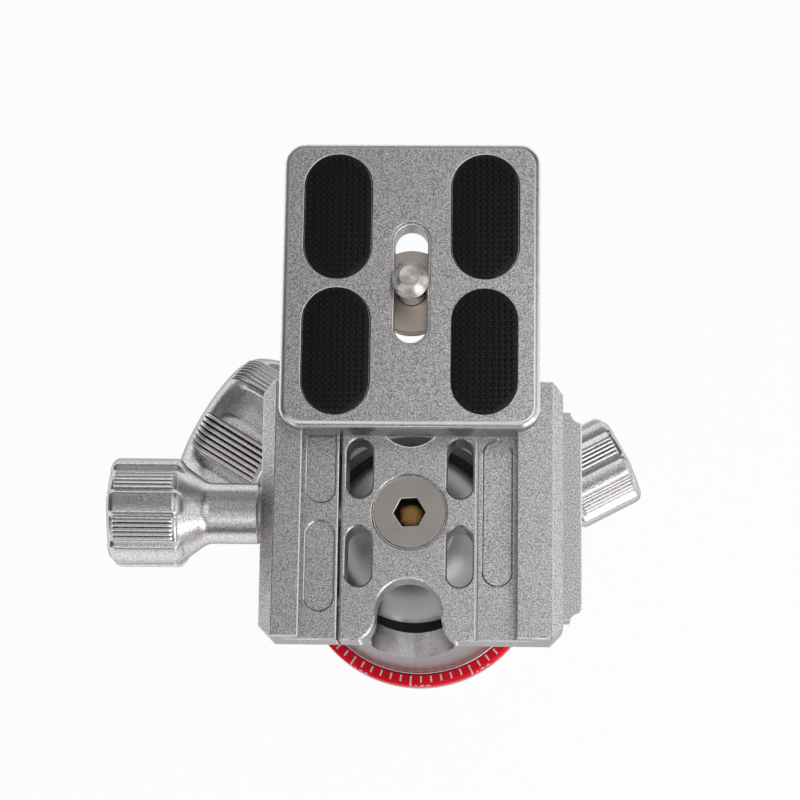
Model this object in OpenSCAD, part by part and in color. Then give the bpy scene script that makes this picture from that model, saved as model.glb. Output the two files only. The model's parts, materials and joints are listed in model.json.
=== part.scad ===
// Ball head with a pan base, a dovetail clamp and a camera plate.
// Millimetres. The origin is the middle of the underside, Z is up,
// X runs across the clamp and Y runs along the dovetail towards the rear.

/* [Base] */
// radius of the base flange and of the scale ring
base_r = 24.4; // [22:0.1:30]
// thickness of the plain flange under the scale ring
flange_h = 3; // [2:0.1:5]
// height of the base disc
base_h = 8; // [7:0.1:12]
// radial width of the scale ring
ring_w = 2.2; // [1.5:0.1:4]
// radius of the 3/8 inch tripod socket
socket_r = 3.97; // [3:0.01:5]
// depth of the tripod socket
socket_depth = 9; // [7:0.1:10]
// radius of the spigot that the housing turns on
spigot_r = 9; // [8:0.1:10]
// length of the spigot above the base disc
spigot_h = 11; // [10:0.1:13]

/* [Ball] */
// radius of the ball
ball_r = 15.75; // [15:0.05:16.2]
// height of the ball centre above the underside
ball_z = 44; // [43:0.1:47]
// radius of the stem
stem_r = 6.3; // [5.5:0.1:6.8]
// wall of the liner at the equator
liner_wall = 1.05; // [0.8:0.05:1.3]
// height of the liner edge above the ball centre
liner_rise = 3.4; // [2:0.1:4.5]

/* [Housing] */
// outer radius of the housing
housing_r = 21.5; // [21:0.1:22]
// outer radius of the housing foot
foot_r = 22; // [21.6:0.1:22.2]
// height of the flared foot
foot_h = 3.5; // [2:0.1:5]
// radius rounding the upper rim
rim_round = 1.6; // [0.5:0.1:2]
// width of the bevel round the mouth
mouth_bevel = 1.4; // [0.5:0.1:1.8]
// half the width of the drop notch
notch_r = 7.5; // [7:0.1:8.5]
// depth of the step at the inner edge of the notch
notch_step = 0.8; // [0.3:0.1:1.2]

/* [Lock knob] */
// direction of the lock knob, counted from X
lock_dir = 149; // [140:1:160]
// height of the lock knob below the ball centre
lock_drop = 6.5; // [5:0.1:8]
// radius over the lobes of the lock knob
lock_knob_r = 16.6; // [12:0.1:17]
// distance of its end face from the ball axis
lock_end = 46.6; // [42:0.1:52]
// length of the gripped part of the lock knob
lock_grip = 16; // [12:0.1:16.5]
// radius of the lock stud
lock_stud_r = 4; // [3:0.1:4.5]
// radius of the lock shoe
lock_shoe_r = 3.9; // [3:0.1:4]

/* [Pan knob] */
// direction of the pan knob, counted from X
pan_dir = 27.6; // [20:0.1:40]
// height of the pan knob axis
pan_z = 14.6; // [14.3:0.1:15]
// radius over the lobes of the pan knob
pan_knob_r = 9; // [7:0.1:10]
// distance of its end face from the ball axis
pan_end = 45.6; // [42:0.1:50]
// length of the gripped part of the pan knob
pan_grip = 13.4; // [10:0.1:14]
// radius of the pan stud
pan_stud_r = 3; // [2:0.1:3.5]
// radius of the pan shoe
pan_shoe_r = 3.4; // [3:0.1:4]

/* [Clamp] */
// length of the clamp along the dovetail
clamp_len = 44.4; // [42:0.1:60]
// height of the clamp floor above the underside of the head
floor_z = 74.5; // [73.5:0.1:78]
// thickness of the clamp under the floor
floor_t = 8.5; // [8:0.1:9]
// height of the jaws above the floor
jaw_h = 5; // [4.6:0.1:6]
// half the opening between the two lips
lip_x = 18.5; // [18:0.1:20]
// depth of the undercut below each lip
undercut = 2.8; // [2:0.1:3]
// thickness of each lip at its edge
lip_t = 0.6; // [0.3:0.1:1]
// width of the fixed jaw on top
fixed_top_w = 6.1; // [4:0.1:7]
// width of the slope outside the fixed jaw
fixed_slope_w = 1.8; // [1:0.1:3]
// width of the ledge outside the fixed jaw
ledge_w = 3.4; // [2:0.1:5]
// half the length of the ledge
ledge_half = 16.2; // [12:0.1:17]
// height of the ledge above the underside of the clamp
ledge_h = 6.5; // [4:0.1:7]
// width of the moving jaw on top
jaw_top_w = 4.6; // [4:0.1:6]
// width of the bevel outside the moving jaw
jaw_bevel_w = 2.4; // [1:0.1:3]
// position of the seam between jaw and floor
seam_x = 12; // [12:0.1:13]
// width of the seam when the jaw is closed
seam_gap = 0.45; // [0.35:0.05:0.8]
// bevel on the rims of slots, pockets, notches and edges of the clamp
rim_bevel = 0.3; // [0.1:0.05:0.35]
// chamfer at the corners of both jaws
jaw_corner = 2; // [1:0.1:3]
// half the width of the bell notches
bell_r = 5.7; // [4.5:0.1:6]
// distance of the notch apex from the middle
bell_apex = 11.5; // [10.6:0.1:12.5]
// radius of the flared mouth of the bell notches
bell_flare = 4.4; // [3:0.1:5]
// width of the four through slots
slot_w = 4.5; // [4:0.1:5]
// length of the four through slots
slot_l = 10.4; // [8:0.1:10.6]
// position of the slots across the clamp
slot_x = 8.7; // [8.6:0.1:9]
// gap between the slots at the middle
slot_gap = 5; // [4.8:0.1:5.2]
// width of the shallow pockets in the floor
pocket_w = 4.8; // [4:0.1:5.4]
// depth of the shallow pockets in the floor
pocket_deep = 0.8; // [0.4:0.1:1]
// radius of the clamp screw head
screw_head_r = 6.15; // [5.5:0.05:6.3]
// radius of the clamp screw shank
screw_r = 3; // [2.5:0.1:3.2]
// width of its hexagon socket across the flats
screw_hex = 4.8; // [4:0.1:6]

/* [Clamp knob] */
// radius over the lobes of the clamp knob
clamp_knob_r = 9.6; // [8:0.1:11]
// distance of its end face from the ball axis
clamp_end = 52.3; // [48:0.1:60]
// length of the gripped part of the clamp knob
clamp_grip = 12.3; // [9:0.1:13]
// radius of its neck
clamp_neck_r = 5.3; // [4.5:0.1:5.6]
// depth of the knob axis below the clamp floor
knob_drop = 3.4; // [3.2:0.1:3.6]
// radius of the clamp stud
stud_r = 2; // [1.5:0.05:2.1]
// radius of the two guide pins
pin_r = 1.5; // [1:0.1:1.8]
// position of the guide pins along the dovetail
pin_y = 15.4; // [15:0.1:16.5]

/* [Plate] */
// width of the plate
plate_w = 44.6; // [43:0.1:50]
// length of the plate
plate_l = 50.4; // [45:0.1:70]
// thickness of the plate slab
slab_t = 4.5; // [3.5:0.1:6]
// corner radius of the plate
plate_corner = 3.8; // [2:0.1:5]
// bevel along the upper edge of the plate
plate_bevel = 0.7; // [0.3:0.1:1.2]
// distance of the plate centre behind the ball axis
plate_y = 38.2; // [30:0.1:42]
// width of the rubber pads
pad_w = 11.4; // [9:0.1:12]
// length of the rubber pads
pad_l = 21.9; // [18:0.1:22]
// distance of the pads from the middle of the plate across
pad_x = 12.73; // [11:0.01:13.5]
// distance of the pads from the middle of the plate along
pad_y = 11.93; // [11.4:0.01:12.2]
// height of the pads above the plate
pad_rise = 0.5; // [0.2:0.1:1]
// width of the screw slot
plate_slot_w = 5.7; // [5.4:0.1:6]
// length of the screw slot
plate_slot_l = 20.8; // [16:0.1:22]
// radius of the quarter inch camera thread
thread_r = 3.175; // [3.1:0.005:3.3]
// length of the camera thread
thread_l = 4.4; // [3:0.1:6]
// radius of the camera screw head
head_r = 7.5; // [6.5:0.1:7.7]

/* [Hidden] */
$fn = 64;
// clearances
run = 0.05;
slip = 0.12;
gap = 0.3;
fit = 0.02;
// base and pan bearing
washer_t = 0.5;
foot_z = base_h + washer_t + run;
spigot_z = base_h + spigot_h;
ring_in = base_r - ring_w;
ring_edge = 0.5;
thrust_t = 1.5;
thrust_r = spigot_r + 2.6;
bolt_r = 2.5;
bolt_head_r = 4.3;
bolt_head_h = 2.6;
bolt_tip_z = socket_depth + 2.2;
bolt_head_z = spigot_z + thrust_t;
well_r = thrust_r + 0.4;
seat_z = bolt_head_z + bolt_head_h + 0.5;
// ball seat and liner
seat_r = well_r + 1;
liner_r = ball_r + liner_wall;
liner_foot = 12;
liner_z = ball_z - liner_foot;
liner_top = ball_z + liner_rise;
mouth_r = liner_r + mouth_bevel;
rim_z = liner_top + mouth_bevel;
pad_shell = 1.9;
pad_half = 18;
dish_r = ball_r + 2 * run + pad_shell;
seat_top = ball_z - 13.6;
// lock and pan stacks, measured outwards from the ball axis
lock_z = ball_z - lock_drop;
bush_flange_t = 1.2;
lock_bush_r = lock_stud_r + 2;
lock_flange_r = lock_bush_r + 1.6;
lock_in = liner_r + 1.1;
lock_spot = housing_r - 0.9;
lock_face = lock_spot + bush_flange_t;
lock_neck_r = lock_stud_r + 3.5;
lock_neck_a = lock_face + 0.5;
pan_bush_r = pan_stud_r + 1.8;
pan_flange_r = pan_bush_r + 0.7;
pan_shoe_l = 5.1;
pan_seat = 1.2;
pan_in = spigot_r + pan_shoe_l + pan_seat;
pan_spot = housing_r - 0.7;
pan_face = pan_spot + bush_flange_t;
pan_neck_r = pan_stud_r + 2.2;
pan_neck_a = pan_face + 0.5;
tip_l = 2.4;
lock_dome = 1.2;
pan_dome = 0.4;
lock_face_z = lock_end - lock_dome;
pan_face_z = pan_end - pan_dome;
lock_edge = 4.5;
pan_edge = 1.6;
clamp_dome = 0.4;
clamp_face_z = clamp_end - clamp_dome;
clamp_edge = 1.5;
bore_share = 0.6;
bore_gap = 0.4;
// clamp levels
clamp_z = floor_z - floor_t;
jaw_z = floor_z + jaw_h;
knob_z = floor_z - knob_drop;
dove_z = jaw_z - lip_t - undercut;
fixed_top_x = lip_x + fixed_top_w;
fixed_side_x = fixed_top_x + fixed_slope_w;
ledge_x = fixed_side_x + ledge_w;
jaw_top_x = lip_x + jaw_top_w;
jaw_side_x = jaw_top_x + jaw_bevel_w;
half_len = clamp_len / 2;
seam_in = seam_x - seam_gap / 2;
seam_out = seam_x + seam_gap / 2;
groove_x = seam_x - 0.35;
stem_seat = 1;
stem_z = clamp_z + stem_seat - run;
cone_h = screw_head_r - screw_r;
screw_rim = 0.4;
screw_top = floor_z - 0.15;
cone_z = screw_top - screw_rim - cone_h;
sink = 0.15;
screw_tip_z = ball_z + 9;
stud_tip = screw_head_r + 0.25;
collar_t = 0.5;
collar_a = jaw_side_x + run;
clamp_neck_a = collar_a + collar_t + run;
pin_in = bell_r + 0.9;
pin_out = jaw_top_x - 0.6;
// plate levels
tail_z = floor_z + slip;
slab_z = jaw_z + 0.4;
plate_top = slab_z + slab_t;
recess_z = slab_z - 1.2;
lug_t = 0.6;
lug_z = recess_z - run - lug_t;
head_t = 2;
head_z = lug_z - run - head_t;
neck_r = plate_slot_w / 2 - 0.25;
thread_z = plate_top + pad_rise + 0.2;
slot_run = plate_slot_l / 2 - plate_slot_w / 2 - 0.15;
pad_sunk = 0.6;
// knob form
lobe_count = 6;
lobe_rise = 0.07;

silver = [0.68, 0.68, 0.69];
steel = [0.55, 0.55, 0.56];
brass = [0.72, 0.58, 0.32];
black = [0.05, 0.05, 0.05];
red = [0.72, 0.05, 0.08];

// points of an arc from angle a to angle b
function arc(x, y, r, a, b, n = 8) =
    [for (i = [0:n]) [x + r * cos(a + (b - a) * i / n), y + r * sin(a + (b - a) * i / n)]];

// a tube or disc from height a to height b
module ring(inner, outer, a, b) {
    difference() {
        translate([0, 0, a]) cylinder(r = outer, h = b - a);
        if (inner > 0) translate([0, 0, a - 1]) cylinder(r = inner, h = b - a + 2);
    }
}

// children stand along a level line that leaves the axis at height z
module outwards(dir, z) {
    rotate([0, 0, dir]) translate([0, 0, z]) rotate([0, 90, 0]) children();
}

// flat outline with round ends, long along Y
module stadium(w, l) {
    translate([0, l / 2 - w / 2]) circle(d = w);
    translate([0, w / 2 - l / 2]) circle(d = w);
    square([w, l - w], center = true);
}

// block with round corners and a bevel along its top and bottom edges
module bevelled_slab(w, l, h, r, top, low) {
    for (x = [-1, 1])
        for (y = [-1, 1])
            translate([x * (w / 2 - r), y * (l / 2 - r), 0])
                rotate_extrude()
                    polygon([[0, 0], [r - low, 0], [r, low], [r, h - top], [r - top, h], [0, h]]);
    translate([0, l / 2 - r, 0]) rotate([90, 0, 0])
        linear_extrude(l - 2 * r) polygon(slab_side(w / 2, h, top, low));
    translate([r - w / 2, 0, 0]) rotate([90, 0, 90])
        linear_extrude(w - 2 * r) polygon(slab_side(l / 2, h, top, low));
}

function slab_side(s, h, top, low) =
    [[low - s, 0], [s - low, 0], [s, low], [s, h - top], [s - top, h], [top - s, h],
     [-s, h - top], [-s, low]];

// knob along Z: neck from a, lobed grip up to the end face at e
module lobed_knob(r, a, e, grip, neck, shoulder, edge, ribs, span, fade, dome) {
    core = r * (1 - lobe_rise);
    b = e - grip;
    zone = 360 / lobe_count;
    difference() {
        union() {
            rotate_extrude()
                polygon(concat(
                    [[0, a], [neck - 0.3, a], [neck, a + 0.3], [neck, b - shoulder]],
                    [[core - 0.4, b], [core, b + 0.5], [core, e - edge]],
                    arc(core - edge, e - edge, edge, 0, 80),
                    [[0, e + dome]]));
            intersection() {
                rotate_extrude()
                    polygon(concat(
                        [[0, b - 0.3], [core - 1.2, b - 0.3]],
                        arc(r - edge, b + edge, edge, -70, 0),
                        fade > 0
                            ? [[r, e - edge - fade], [core - 0.4, e - edge + 1.2], [0, e - edge + 1.2]]
                            : concat(arc(r - edge, e - edge, edge, 0, 80), [[0, e + dome]])));
                translate([0, 0, b - 1])
                    linear_extrude(grip + dome + 2)
                        for (i = [0:lobe_count - 1])
                            rotate(i * zone)
                                polygon([[core * 0.6, 0],
                                    [core * 0.97 * cos(18), -core * 0.97 * sin(18)],
                                    [r * cos(13.5), -r * sin(13.5)],
                                    [r * 1.1 * cos(12), -r * 1.1 * sin(12)],
                                    [r * 1.1 * cos(12), r * 1.1 * sin(12)],
                                    [r * cos(13.5), r * sin(13.5)],
                                    [core * 0.97 * cos(18), core * 0.97 * sin(18)]]);
            }
            intersection() {
                rotate_extrude()
                    polygon(concat(
                        [[core * 0.7, b + 0.9], [core * 1.06, b + 0.9]],
                        arc(core * 1.06 - edge, e - edge, edge, 0, 45),
                        [[core * 0.7, e - edge * 0.3]]));
                translate([0, 0, b])
                    linear_extrude(grip)
                        for (i = [0:lobe_count - 1])
                            rotate((i + 0.5) * zone)
                                rib_fan(core, span, ribs);
            }
        }
        translate([0, 0, a - 1]) cylinder(r = shaft_of(neck), h = bore_end(a, e) - a + 1);
    }
}

// depth of the bore in a knob that runs from a to e
function bore_end(a, e) = a + bore_share * (e - a);

// the stud that a knob with this neck is pressed on
function shaft_of(neck) =
    (neck == clamp_neck_r ? stud_r : neck == lock_neck_r ? lock_stud_r : pan_stud_r) + fit;

// small pointed ribs side by side over an angle
module rib_fan(r, span, count) {
    step = span / count;
    polygon(concat(
        [[r * 0.8, 0]],
        [for (i = [0:2 * count])
            let (t = -span / 2 + i * step / 2, q = i % 2 == 0 ? r * 0.99 : r * 1.035)
                [q * cos(t), q * sin(t)]]));
}

// outline of the drop notch seen along the stem when it lies in the notch
module notch_outline(r) {
    circle(r = r);
    translate([-r, 0]) square([2 * r, ball_r + rim_z - ball_z]);
}

// room for the stem in the front wall
module drop_notch(low, high, r) {
    translate([0, -low, ball_z]) rotate([90, 0, 0])
        linear_extrude(high - low) notch_outline(r);
}

module base_plate() {
    color(silver)
        difference() {
            rotate_extrude()
                polygon([[0, 0], [base_r - 0.6, 0], [base_r, 0.6], [base_r, flange_h],
                    [ring_in - run, flange_h], [ring_in - run, base_h], [spigot_r, base_h],
                    [spigot_r, spigot_z - 0.5], [spigot_r - 0.5, spigot_z], [0, spigot_z]]);
            translate([0, 0, -1]) cylinder(r = socket_r, h = socket_depth + 1);
            translate([0, 0, bolt_tip_z - 0.8]) cylinder(r = bolt_r + fit, h = spigot_z);
        }
}

module scale_ring() {
    color(red)
        rotate_extrude()
            polygon([[ring_in, flange_h + run], [base_r, flange_h + run],
                [base_r, base_h - ring_edge], [base_r - ring_edge, base_h], [ring_in, base_h]]);
}

module pan_washer() {
    color(black) ring(spigot_r + slip, ring_in - 1, base_h, base_h + washer_t);
}

module pan_bolt() {
    color(steel)
        difference() {
            union() {
                translate([0, 0, bolt_tip_z]) cylinder(r = bolt_r, h = bolt_head_z - bolt_tip_z + 0.5);
                rotate_extrude()
                    polygon([[0, bolt_head_z], [bolt_head_r, bolt_head_z],
                        [bolt_head_r, bolt_head_z + 1.4], [bolt_head_r - 1.2, bolt_head_z + bolt_head_h],
                        [0, bolt_head_z + bolt_head_h]]);
            }
            translate([0, 0, bolt_head_z + 0.8])
                cylinder(d = 3 / cos(30), h = bolt_head_h, $fn = 6);
        }
}

module thrust_washer() {
    color(steel) ring(bolt_r + slip, thrust_r, spigot_z, bolt_head_z);
}

module housing() {
    color(silver)
        difference() {
            rotate_extrude()
                polygon(concat(
                    [[spigot_r + run, foot_z], [foot_r - 0.4, foot_z], [foot_r, foot_z + 0.4],
                     [foot_r, foot_z + 1.2], [housing_r, foot_z + foot_h]],
                    arc(housing_r - rim_round, rim_z - rim_round, rim_round, 0, 90),
                    [[mouth_r, rim_z], [liner_r + fit, liner_top], [liner_r + fit, liner_z],
                     [seat_r, liner_z], [seat_r, seat_z], [well_r, seat_z],
                     [well_r, spigot_z - gap], [spigot_r + run, spigot_z - gap]]));
            drop_notch(mouth_r - 3, housing_r + 3, notch_r);
            intersection() {
                cylinder(r = mouth_r, h = rim_z + 10);
                drop_notch(0, mouth_r + 1, notch_r + notch_step);
            }
            outwards(lock_dir, lock_z) {
                cylinder(r = lock_stud_r + run, h = housing_r + 2);
                translate([0, 0, lock_in]) cylinder(r = lock_bush_r + fit, h = housing_r);
                translate([0, 0, lock_spot]) cylinder(r = lock_flange_r + gap, h = housing_r);
            }
            outwards(pan_dir, pan_z) {
                cylinder(r = pan_shoe_r + run, h = housing_r + 2);
                translate([0, 0, pan_in]) cylinder(r = pan_bush_r + fit, h = housing_r);
                translate([0, 0, pan_spot]) cylinder(r = pan_flange_r + gap, h = housing_r);
            }
        }
}

module ball_liner() {
    color(black)
        difference() {
            ring(0, liner_r, liner_z, liner_top);
            translate([0, 0, ball_z]) sphere(r = ball_r + run);
            drop_notch(0, housing_r + 3, notch_r + notch_step);
            outwards(lock_dir, lock_z) cylinder(r = lock_stud_r + run, h = housing_r);
        }
}

module seat_block() {
    color(brass)
        difference() {
            ring(0, seat_r - fit, seat_z, seat_top);
            translate([0, 0, ball_z]) sphere(r = dish_r + run);
        }
}

module flanged_bush(inner, outer, flange, a, spot, b) {
    ring(inner, outer, a, spot + 0.1);
    ring(inner, flange, spot, b);
}

module lock_bush() {
    color(brass) outwards(lock_dir, lock_z)
        flanged_bush(lock_stud_r + run, lock_bush_r, lock_flange_r, lock_in, lock_spot, lock_face);
}

module pan_bush() {
    color(brass) outwards(pan_dir, pan_z)
        flanged_bush(pan_stud_r + run, pan_bush_r, pan_flange_r, pan_in, pan_spot, pan_face);
}

module ball_pad() {
    color(black)
        translate([0, 0, ball_z])
            rotate_extrude()
                polygon(concat(
                    arc(0, 0, dish_r, -90, -90 + pad_half, 12),
                    arc(0, 0, ball_r + run, -90 + pad_half, -90, 12)));
}

module ball() {
    color(silver)
        difference() {
            union() {
                translate([0, 0, ball_z]) sphere(r = ball_r);
                translate([0, 0, ball_z]) cylinder(r = stem_r, h = stem_z - ball_z);
                translate([0, 0, ball_z + ball_r * cos(asin(stem_r / ball_r)) - 0.4])
                    cylinder(r1 = stem_r + 1.4, r2 = stem_r, h = 1.8);
            }
            translate([0, 0, screw_tip_z - 1]) cylinder(r = screw_r + fit, h = 60);
        }
}

// bell shaped opening at one end of the clamp
module bell(side) {
    mid = bell_apex + bell_r;
    mouth = half_len - bell_flare + 0.3;
    scale([1, side]) {
        translate([0, mid]) circle(r = bell_r);
        translate([-bell_r, mid]) square([2 * bell_r, half_len + 2 - mid]);
        difference() {
            translate([-bell_r - bell_flare, mouth])
                square([2 * (bell_r + bell_flare), half_len + 2 - mouth]);
            for (x = [-1, 1])
                translate([x * (bell_r + bell_flare), mouth]) circle(r = bell_flare);
        }
    }
}

// the clamp and both jaws keep inside this outline
module clamp_outline() {
    c = jaw_corner;
    polygon([[-jaw_side_x, c - half_len], [c - jaw_side_x, -half_len],
        [fixed_side_x - c, -half_len], [fixed_side_x, c - half_len],
        [fixed_side_x, half_len - c], [fixed_side_x - c, half_len],
        [c - jaw_side_x, half_len], [-jaw_side_x, half_len - c]]);
}

// a side view extruded along the dovetail
module along(l) {
    translate([0, l / 2, 0]) rotate([90, 0, 0]) linear_extrude(l) children();
}

// bevel round the top of a slot with round ends, whose rim is at z = 0
module stadium_rim(w, l) {
    c = rim_bevel;
    along(l - w)
        polygon([[-w / 2, -c], [w / 2, -c], [w / 2 + c + 0.1, 0.1], [-w / 2 - c - 0.1, 0.1]]);
    for (y = [-1, 1])
        translate([0, y * (l - w) / 2, -c])
            cylinder(r1 = w / 2, r2 = w / 2 + c + 0.1, h = c + 0.1);
}

// bevel along the front and rear edge of the clamp, from x0 to x1 at level z
module end_rims(x0, x1, z) {
    c = rim_bevel;
    for (y = [-1, 1])
        translate([x0, y * half_len, z])
            rotate([90, 0, 90])
                linear_extrude(x1 - x0)
                    polygon([[-y * (c + 0.1), 0.1], [y * 0.4, 0.1], [y * 0.4, -c - 0.4]]);
}

// bevel round a bell notch at one end of the clamp, where the floor ends
module bell_rim(side) {
    c = rim_bevel;
    translate([0, side * (bell_apex + bell_r), floor_z - c])
        cylinder(r1 = bell_r, r2 = bell_r + c + 0.1, h = c + 0.1);
    for (x = [-1, 1])
        translate([x * (bell_r + bell_flare), side * (half_len - bell_flare + 0.3), floor_z])
            intersection() {
                rotate_extrude()
                    polygon([[bell_flare - c - 0.1, 0.1], [bell_flare + 0.4, 0.1],
                        [bell_flare + 0.4, -c - 0.4]]);
                translate([-x * 3, side * 3, 0]) cube([6, 6, 6], center = true);
            }
}

module clamp_base() {
    color(silver)
        difference() {
            union() {
                intersection() {
                    along(clamp_len)
                        polygon([[0.6 - seam_in, clamp_z], [fixed_side_x - 0.8, clamp_z],
                            [fixed_side_x, clamp_z + 0.8], [fixed_side_x, jaw_z - 2.6],
                            [fixed_top_x, jaw_z], [lip_x + 0.2, jaw_z], [lip_x, jaw_z - 0.2],
                            [lip_x, jaw_z - lip_t], [lip_x + undercut, dove_z],
                            [lip_x + undercut, floor_z], [groove_x + 0.3, floor_z],
                            [groove_x, floor_z - 0.35], [groove_x - 0.3, floor_z],
                            [rim_bevel - seam_in, floor_z], [-seam_in, floor_z - rim_bevel],
                            [-seam_in, clamp_z + 0.6]]);
                    translate([0, 0, clamp_z - 1]) linear_extrude(40) clamp_outline();
                }
                translate([0, 0, clamp_z])
                    linear_extrude(ledge_h)
                        difference() {
                            translate([fixed_side_x - 1, -ledge_half - 2])
                                square([ledge_w + 1, 2 * ledge_half + 4]);
                            for (y = [-1, 1])
                                translate([ledge_x, y * (ledge_half + 2)]) {
                                    circle(r = 2);
                                    scale([1, y]) square([4, 4]);
                                }
                            for (y = [-1, 1])
                                translate([fixed_side_x + 1.1, y * (ledge_half + 3)])
                                    square([2.2 * ledge_w, 2], center = true);
                        }
            }
            translate([0, 0, clamp_z - 1])
                linear_extrude(floor_t + 2) {
                    bell(1);
                    bell(-1);
                    for (x = [-1, 1])
                        for (y = [-1, 1])
                            translate([x * slot_x, y * (slot_gap / 2 + slot_l / 2)])
                                stadium(slot_w, slot_l);
                }
            translate([seam_x + 3.2, 0, floor_z - pocket_deep])
                linear_extrude(4) stadium(pocket_w, 25.2);
            translate([seam_x + 3.2, 0, floor_z]) stadium_rim(pocket_w, 25.2);
            for (x = [-1, 1])
                for (y = [-1, 1])
                    translate([x * slot_x, y * (slot_gap / 2 + slot_l / 2), floor_z])
                        stadium_rim(slot_w, slot_l);
            bell_rim(1);
            bell_rim(-1);
            end_rims(bell_r + bell_flare, lip_x + undercut, floor_z);
            end_rims(-seam_x, -bell_r - bell_flare, floor_z);
            end_rims(lip_x - 1, fixed_top_x + 1, jaw_z);
            // countersunk hole for the clamp screw and seat for the stem
            translate([0, 0, clamp_z - 1]) cylinder(r = screw_r + slip, h = floor_t + 2);
            translate([0, 0, cone_z - sink])
                cylinder(r1 = screw_r, r2 = screw_head_r + sink, h = cone_h + sink);
            translate([0, 0, cone_z + cone_h - 0.1]) cylinder(r = screw_head_r + gap, h = 3);
            translate([0, 0, floor_z - rim_bevel])
                cylinder(r1 = screw_head_r + gap, r2 = screw_head_r + gap + rim_bevel + 0.1,
                    h = rim_bevel + 0.1);
            translate([0, 0, clamp_z - 1]) cylinder(r = stem_r + run, h = 1 + stem_seat);
            outwards(180, knob_z)
                translate([0, 0, stud_tip - 0.4]) cylinder(r = stud_r + run, h = seam_x);
            for (y = [-pin_y, pin_y])
                translate([0, y, 0]) outwards(180, knob_z)
                    translate([0, 0, pin_in]) cylinder(r = pin_r + fit, h = seam_x);
        }
}

module clamp_screw() {
    color(steel)
        difference() {
            union() {
                translate([0, 0, screw_tip_z]) cylinder(r = screw_r, h = screw_top - screw_tip_z - 1);
                translate([0, 0, cone_z]) cylinder(r1 = screw_r, r2 = screw_head_r, h = cone_h);
                translate([0, 0, screw_top - screw_rim]) cylinder(r = screw_head_r, h = screw_rim);
            }
            translate([0, 0, screw_top - 2.6]) rotate([0, 0, 3])
                cylinder(d = screw_hex / cos(30), h = 5, $fn = 6);
        }
}

module guide_pins() {
    color(steel)
        for (y = [-pin_y, pin_y])
            translate([0, y, 0]) outwards(180, knob_z)
                translate([0, 0, pin_in + 0.2]) cylinder(r = pin_r, h = pin_out - pin_in - 0.2);
}

module jaw() {
    color(silver)
        difference() {
            intersection() {
                along(clamp_len)
                    polygon([[-seam_out - 0.6, clamp_z], [0.8 - jaw_side_x, clamp_z],
                        [-jaw_side_x, clamp_z + 0.8], [-jaw_side_x, jaw_z - 2.6],
                        [-jaw_top_x, jaw_z], [-lip_x - 0.2, jaw_z], [-lip_x, jaw_z - 0.2],
                        [-lip_x, jaw_z - lip_t], [-lip_x - undercut, dove_z],
                        [-lip_x - undercut, floor_z], [-seam_out - rim_bevel, floor_z],
                        [-seam_out, floor_z - rim_bevel], [-seam_out, clamp_z + 0.6]]);
                translate([0, 0, clamp_z - 1]) linear_extrude(40) clamp_outline();
            }
            for (y = [-1, 1])
                translate([-seam_x - 3.4, y * 9.4, floor_z - pocket_deep])
                    linear_extrude(4) stadium(pocket_w, 15.4);
            for (y = [-1, 1])
                translate([-seam_x - 3.4, y * 9.4, floor_z]) stadium_rim(pocket_w, 15.4);
            end_rims(-lip_x - undercut, -seam_x, floor_z);
            end_rims(-jaw_top_x - 1, 1 - lip_x, jaw_z);
            outwards(180, knob_z) cylinder(r = stud_r + slip, h = jaw_side_x + 1);
            for (y = [-pin_y, pin_y])
                translate([0, y, 0]) outwards(180, knob_z)
                    cylinder(r = pin_r + run, h = pin_out + 0.4);
        }
}

module knob_washer() {
    color(steel) outwards(180, knob_z)
        ring(stud_r + slip, clamp_neck_r - 0.3, collar_a, collar_a + collar_t);
}

module clamp_stud() {
    color(steel) outwards(180, knob_z)
        translate([0, 0, stud_tip])
            cylinder(r = stud_r, h = bore_end(clamp_neck_a, clamp_face_z) - bore_gap - stud_tip);
}

module clamp_knob() {
    color(silver) outwards(180, knob_z)
        lobed_knob(clamp_knob_r, clamp_neck_a, clamp_face_z, clamp_grip, clamp_neck_r, 4.4, clamp_edge, 5, 27, 0,
            clamp_dome);
}

module plate() {
    tail_x = lip_x + undercut - slip * 1.5;
    neck_x = lip_x - slip * 1.5;
    color(silver)
        translate([0, plate_y, 0])
            difference() {
                union() {
                    translate([0, 0, slab_z])
                        bevelled_slab(plate_w, plate_l, slab_t, plate_corner, plate_bevel, 0.4);
                    along(plate_l - 0.6)
                        polygon([[0.3 - tail_x, tail_z], [tail_x - 0.3, tail_z], [tail_x, tail_z + 0.3],
                            [tail_x, dove_z - slip], [neck_x, dove_z - slip + undercut],
                            [neck_x, slab_z + 0.5], [-neck_x, slab_z + 0.5],
                            [-neck_x, dove_z - slip + undercut], [-tail_x, dove_z - slip],
                            [-tail_x, tail_z + 0.3]]);
                }
                translate([0, 0, slab_z - 10])
                    linear_extrude(40) stadium(plate_slot_w, plate_slot_l);
                translate([0, 0, plate_top - 0.5])
                    linear_extrude(2) stadium(plate_slot_w + 1, plate_slot_l + 1);
                translate([0, 0, tail_z - 1])
                    linear_extrude(recess_z - tail_z + 1)
                        stadium(2 * head_r + 0.7, 2 * (head_r + slot_run + gap));
                for (x = [-1, 1])
                    for (y = [-1, 1])
                        translate([x * pad_x, y * pad_y, plate_top - pad_sunk])
                            linear_extrude(4) stadium(pad_w + 2 * slip, pad_l + 2 * slip);
            }
}

module plate_pads() {
    color(black)
        translate([0, plate_y, plate_top - pad_sunk])
            for (x = [-1, 1])
                for (y = [-1, 1])
                    translate([x * pad_x, y * pad_y, 0])
                        linear_extrude(pad_sunk + pad_rise) stadium(pad_w, pad_l);
}

module screw_washer() {
    color(brass) translate([0, plate_y, 0]) ring(neck_r + slip, head_r - 0.2, lug_z, lug_z + lug_t);
}

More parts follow.
